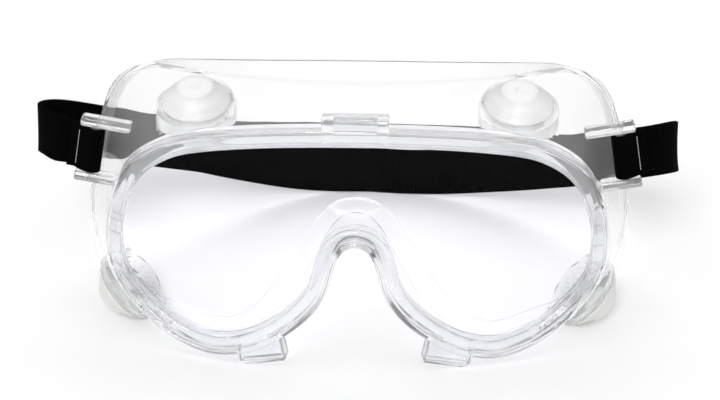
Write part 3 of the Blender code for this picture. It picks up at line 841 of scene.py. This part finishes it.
def resample(points, step):
    """Points at equal distances along a polyline, and each point's distance from its start."""
    points = np.array(points, float)
    lengths = np.concatenate([[0], np.cumsum(np.linalg.norm(np.diff(points, axis=0), axis=1))])
    count = max(2, int(round(lengths[-1] / step)) + 1)
    wanted = np.linspace(0, lengths[-1], count)
    return np.column_stack([np.interp(wanted, lengths, points[:, k]) for k in range(3)]), wanted


def cloth_ribbon(name, centres, ups, widths, distances):
    """A ribbed band swept along centres, with its length and width written to the UV map."""
    section = cloth_section()
    count = len(centres)
    bm = bmesh.new()
    uv_layer = bm.loops.layers.uv.new("cloth")
    rings = []
    for i in range(count):
        along = (centres[min(i + 1, count - 1)] - centres[max(i - 1, 0)]).normalized()
        up = (ups[i] - along * ups[i].dot(along)).normalized()
        out = along.cross(up).normalized()
        picot = PICOT_DEPTH * (0.5 + 0.5 * math.cos(2 * math.pi * distances[i] / STITCH_PITCH))
        ring = []
        for share, offset in section:
            half = widths[i] / 2 - (picot if abs(share) > PICOT_START else 0.0)
            ring.append(bm.verts.new(centres[i] + up * share * half + out * offset))
        rings.append(ring)
    points = len(section)
    for i in range(count - 1):
        for j in range(points):
            k = (j + 1) % points
            face = bm.faces.new((rings[i][j], rings[i][k], rings[i + 1][k], rings[i + 1][j]))
            places = ((i, j), (i, k), (i + 1, k), (i + 1, j))
            for loop, (row, column) in zip(face.loops, places):
                across = (section[column][0] + 1) / 2 * STRAP_WIDTH
                loop[uv_layer].uv = (distances[row], across)
    bm.faces.new(rings[0])
    bm.faces.new(rings[-1])
    bmesh.ops.recalc_face_normals(bm, faces=bm.faces)
    mesh = bpy.data.meshes.new(name)
    bm.to_mesh(mesh)
    bm.free()
    return add_object(name, mesh), points


def trim_end(mesh, corners, face_x, along):
    """Slides the given points along the strap until they lie in the plane x = face_x."""
    for index in corners:
        vertex = mesh.vertices[index]
        vertex.co += along * ((face_x - vertex.co.x) / along.x)


def strap_axes(side):
    return bar_matrix(side) @ Matrix.Diagonal((side, 1, 1, 1))


def layer_offset():
    return BAR_RADIUS + LOOP_GAP + STRAP_THICKNESS / 2


def strap_join(side):
    return strap_axes(side) @ Vector((LOOP_REACH, layer_offset(), 0))


def up_of(side):
    return (strap_axes(side).to_3x3() @ Vector((0, 0, 1))).normalized()


def make_band(finish):
    """The long stretch of elastic, from one sewn end round the back to the other."""
    joins = {side: strap_join(side) for side in (-1, 1)}
    leads = {side: joins[side] + strap_axes(side).to_3x3().col[0] * BAND_LEAD for side in (-1, 1)}
    route = [Vector((x * MM, y * MM + GOGGLE_ORIGIN.y, z * MM)) for x, y, z in BAND_ROUTE]
    points = [joins[-1], leads[-1], *route, leads[1], joins[1]]
    per_point = 24
    dense = spline([tuple(p) for p in points], per_point, False)
    dense = np.vstack([dense[:1], dense[per_point:-per_point], dense[-1:]])
    centres, distances = resample(dense, STATION_STEP)
    lengths = np.concatenate([[0], np.cumsum(np.linalg.norm(np.diff(dense, axis=0), axis=1))])
    reach_of = np.concatenate([[0.0], np.arange(per_point, len(dense) + per_point - 2) / per_point])
    reach_of = np.concatenate([reach_of, [reach_of[-1] + 1.0]])
    reaches = np.interp(distances, lengths, reach_of)
    top = reaches[-1]
    ups = []
    widths = []
    level = Vector((0, 0, 1))
    for reach, x in zip(reaches, centres[:, 0]):
        near = up_of(-1) if x < 0 else up_of(1)
        from_end = min(reach, top - reach)
        ease = min(1.0, from_end / TWIST_POINTS)
        ease = ease * ease * (3 - 2 * ease)
        ups.append(near.lerp(level, ease).normalized())
        swell = min(1.0, from_end / SWELL_POINTS)
        widths.append(SQUEEZED_WIDTH + (STRAP_WIDTH - SQUEEZED_WIDTH) * swell)
    centres = [Vector(c) for c in centres]
    made, ring = cloth_ribbon("elastic_band", centres, ups, widths, distances)
    cut = joins[1].x + LOOP_GAP
    total = len(made.data.vertices)
    for start, face_x, along in (
        (0, -cut, centres[1] - centres[0]),
        (total - ring, cut, centres[-2] - centres[-1]),
    ):
        trim_end(made.data, range(start, start + ring), face_x, along)
    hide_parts("strap_band")
    finish_piece(made, finish, None, 60.0)
    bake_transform(made)
    return made


LOOP_POINTS = 33
TAIL_BEND = (2.6 * MM, -1.3 * MM)
TAIL_SETTLE = 5.0 * MM
TAIL_EASE = 0.1 * MM


def loop_route():
    """The sewn end's middle line in the lug's axes: in, round the bar and back out as a tail."""
    layer = layer_offset()
    tail = layer - STRAP_THICKNESS - LOOP_GAP
    angles = np.linspace(0, math.pi, LOOP_POINTS)
    turn = [(-layer * math.sin(a), layer * math.cos(a)) for a in angles]
    route = [(LOOP_REACH, layer), (LOOP_REACH / 2, layer), *turn]
    route += [TAIL_BEND, (TAIL_SETTLE, tail - TAIL_EASE), (TAIL_REACH, tail)]
    return route


def make_sewn_end(side_name, side, finish, thread):
    """The loop round the bar, its tail and the row of stitches that holds it."""
    axes = strap_axes(side)
    path = [tuple(axes @ Vector((x, y, 0))) for x, y in loop_route()]
    centres, distances = resample(path, STATION_STEP)
    centres = [Vector(c) for c in centres]
    ups = [up_of(side)] * len(centres)
    widths = [SQUEEZED_WIDTH] * len(centres)
    made, ring = cloth_ribbon(f"sewn_end_{side_name}", centres, ups, widths, distances)
    trim_end(made.data, range(ring), side * strap_join(1).x, centres[1] - centres[0])
    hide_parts(f"strap_end_{side_name}")
    finish_piece(made, finish, "goggles", 60.0)
    make_stitches(side_name, axes, thread)


# Outward and back from the bar's axis, on the tail's front
STITCH_ROW = (4.7 * MM, -0.46 * MM)
STITCHES = 13
STITCH_MARGIN = 1.6 * MM
# Half a stitch's length, as a share of the distance from one stitch to the next
STITCH_HALF_SHARE = 0.44
THREAD_RADIUS = 0.13 * MM


def make_stitches(side_name, axes, thread):
    half = SQUEEZED_WIDTH / 2 - STITCH_MARGIN

    def build(bm):
        pitch = 2 * half / STITCHES
        for number in range(STITCHES):
            z = -half + pitch * (number + 0.5)
            placed = axes @ Matrix.Translation((*STITCH_ROW, z))
            shape = bmesh.ops.create_uvsphere(bm, u_segments=10, v_segments=8, radius=1.0)
            bmesh.ops.scale(
                bm, vec=(THREAD_RADIUS, THREAD_RADIUS, pitch * STITCH_HALF_SHARE), verts=shape["verts"]
            )
            bmesh.ops.transform(bm, matrix=placed, verts=shape["verts"])

    made = add_object(f"stitches_{side_name}", mesh_from("stitches", build))
    finish_piece(made, thread, "goggles", 80.0)


# ---------------------------------------------------------------- studio


FLOOR_HALF_SIZE = 3.0
FLOOR_DROP = 0.1 * MM


def make_floor():
    """A white floor a hair below the goggles, so that no two faces share a plane."""

    def build(bm):
        bmesh.ops.create_grid(bm, x_segments=1, y_segments=1, size=FLOOR_HALF_SIZE)

    floor = add_object("studio_floor", mesh_from("studio_floor", build))
    floor.location.z = -FLOOR_DROP
    floor.data.materials.append(white_floor())


WORLD_STRENGTH = 0.77


def make_world():
    """Soft white all round, brighter overhead and greyer low behind the camera and to the sides."""
    world = bpy.data.worlds.new("studio")
    bpy.context.scene.world = world
    world.use_nodes = True
    tree = world.node_tree
    background = tree.nodes["Background"]
    coordinates = tree.nodes.new("ShaderNodeTexCoord")
    split = tree.nodes.new("ShaderNodeSeparateXYZ")
    ramp = tree.nodes.new("ShaderNodeValToRGB")
    tree.links.new(coordinates.outputs["Generated"], split.inputs[0])
    tree.links.new(split.outputs["Z"], ramp.inputs["Fac"])
    tree.links.new(ramp.outputs["Color"], background.inputs["Color"])
    stops = ramp.color_ramp.elements
    stops[0].position = 0.0
    stops[0].color = (0.6, 0.6, 0.605, 1)
    stops[1].position = 1.0
    stops[1].color = (1.0, 1.0, 1.0, 1)
    for position, level in ((0.22, 0.68), (0.45, 0.95)):
        stop = stops.new(position)
        stop.color = (level, level, level * 1.01, 1)
    background.inputs["Strength"].default_value = WORLD_STRENGTH
    # The clear plastics already pass shadow rays, so the sky is not sampled a second time as a lamp.
    world.cycles.sampling_method = "NONE"


def add_softbox(name, place, aim, size, power):
    data = bpy.data.lights.new(name, "AREA")
    data.shape = "RECTANGLE"
    data.size, data.size_y = size
    data.energy = power
    lamp = bpy.data.objects.new(name, data)
    bpy.context.scene.collection.objects.link(lamp)
    lamp.location = place
    lamp.rotation_euler = (Vector(aim) - Vector(place)).to_track_quat("-Z", "Y").to_euler()
    # Lamp light already passes the clear plastics as shadow rays, so refracted rays miss the lamp.
    lamp.visible_transmission = False


def make_lights():
    add_softbox("softbox_front", (-0.3, -1.9, 1.7), (0, 0, 0), (0.7, 0.6), 28.6)
    add_softbox("softbox_back", (0.0, 0.9, 1.4), (0, 0.1, 0), (1.2, 0.8), 3.8)


CAMERA_ELEVATION = math.radians(31.0)
CAMERA_AZIMUTH = math.radians(1.5)
CAMERA_DISTANCE = 0.575
FOCAL_LENGTH = 95.0
SENSOR_WIDTH = 36.0
# How far the view slides sideways and up, as shares of its width
CAMERA_SHIFT = (0.007, 0.0417)


def make_camera():
    data = bpy.data.cameras.new("camera")
    data.lens = FOCAL_LENGTH
    data.sensor_width = SENSOR_WIDTH
    data.shift_x, data.shift_y = CAMERA_SHIFT
    camera = bpy.data.objects.new("camera", data)
    bpy.context.scene.collection.objects.link(camera)
    level = math.cos(CAMERA_ELEVATION)
    back = Vector(
        (math.sin(CAMERA_AZIMUTH) * level, -math.cos(CAMERA_AZIMUTH) * level, math.sin(CAMERA_ELEVATION))
    )
    right = Vector((math.cos(CAMERA_AZIMUTH), math.sin(CAMERA_AZIMUTH), 0))
    turn = Matrix((right, back.cross(right), back)).transposed().to_4x4()
    camera.matrix_world = Matrix.Translation(GOGGLE_ORIGIN + back * CAMERA_DISTANCE) @ turn
    bpy.context.scene.camera = camera


# ---------------------------------------------------------------- build

bpy.context.scene.view_settings.view_transform = "Standard"
make_camera()
make_world()
make_lights()
make_floor()
make_frame(
    soft_pvc(),
    [
        thin_pvc("soft_clear_pvc_upper", 1.18, 0.9, 0.03),
        thin_pvc("soft_clear_pvc_lower", 1.06, 0.99, 0.03),
        thin_pvc("soft_clear_pvc_boss", 1.15, 0.6, 0.2),
    ],
)
make_lens(lens_polycarbonate())
seat_finish = hard_clear()
cap_finishes = {
    "top": frosted_cap("frosted_white_plastic", (0.93, 0.93, 0.925), (0.985, 0.985, 0.98), 0.35),
    # The cheek caps take a darker, yellower copy of the top caps' frosted finish: painted shade on these low
    # caps by the table.
    "cheek": frosted_cap("frosted_plastic_painted_shade", (0.88, 0.885, 0.855), (0.94, 0.945, 0.92), 0.3),
}
for side_name, side in SIDES.items():
    for place in VENTS:
        make_seat(place, side_name, side, seat_finish)
        make_cap(place, side_name, side, cap_finishes[place])
elastic = knitted_elastic()
thread = sewing_thread()
make_band(elastic)
for side_name, side in SIDES.items():
    make_sewn_end(side_name, side, elastic, thread)

bpy.context.view_layer.update()
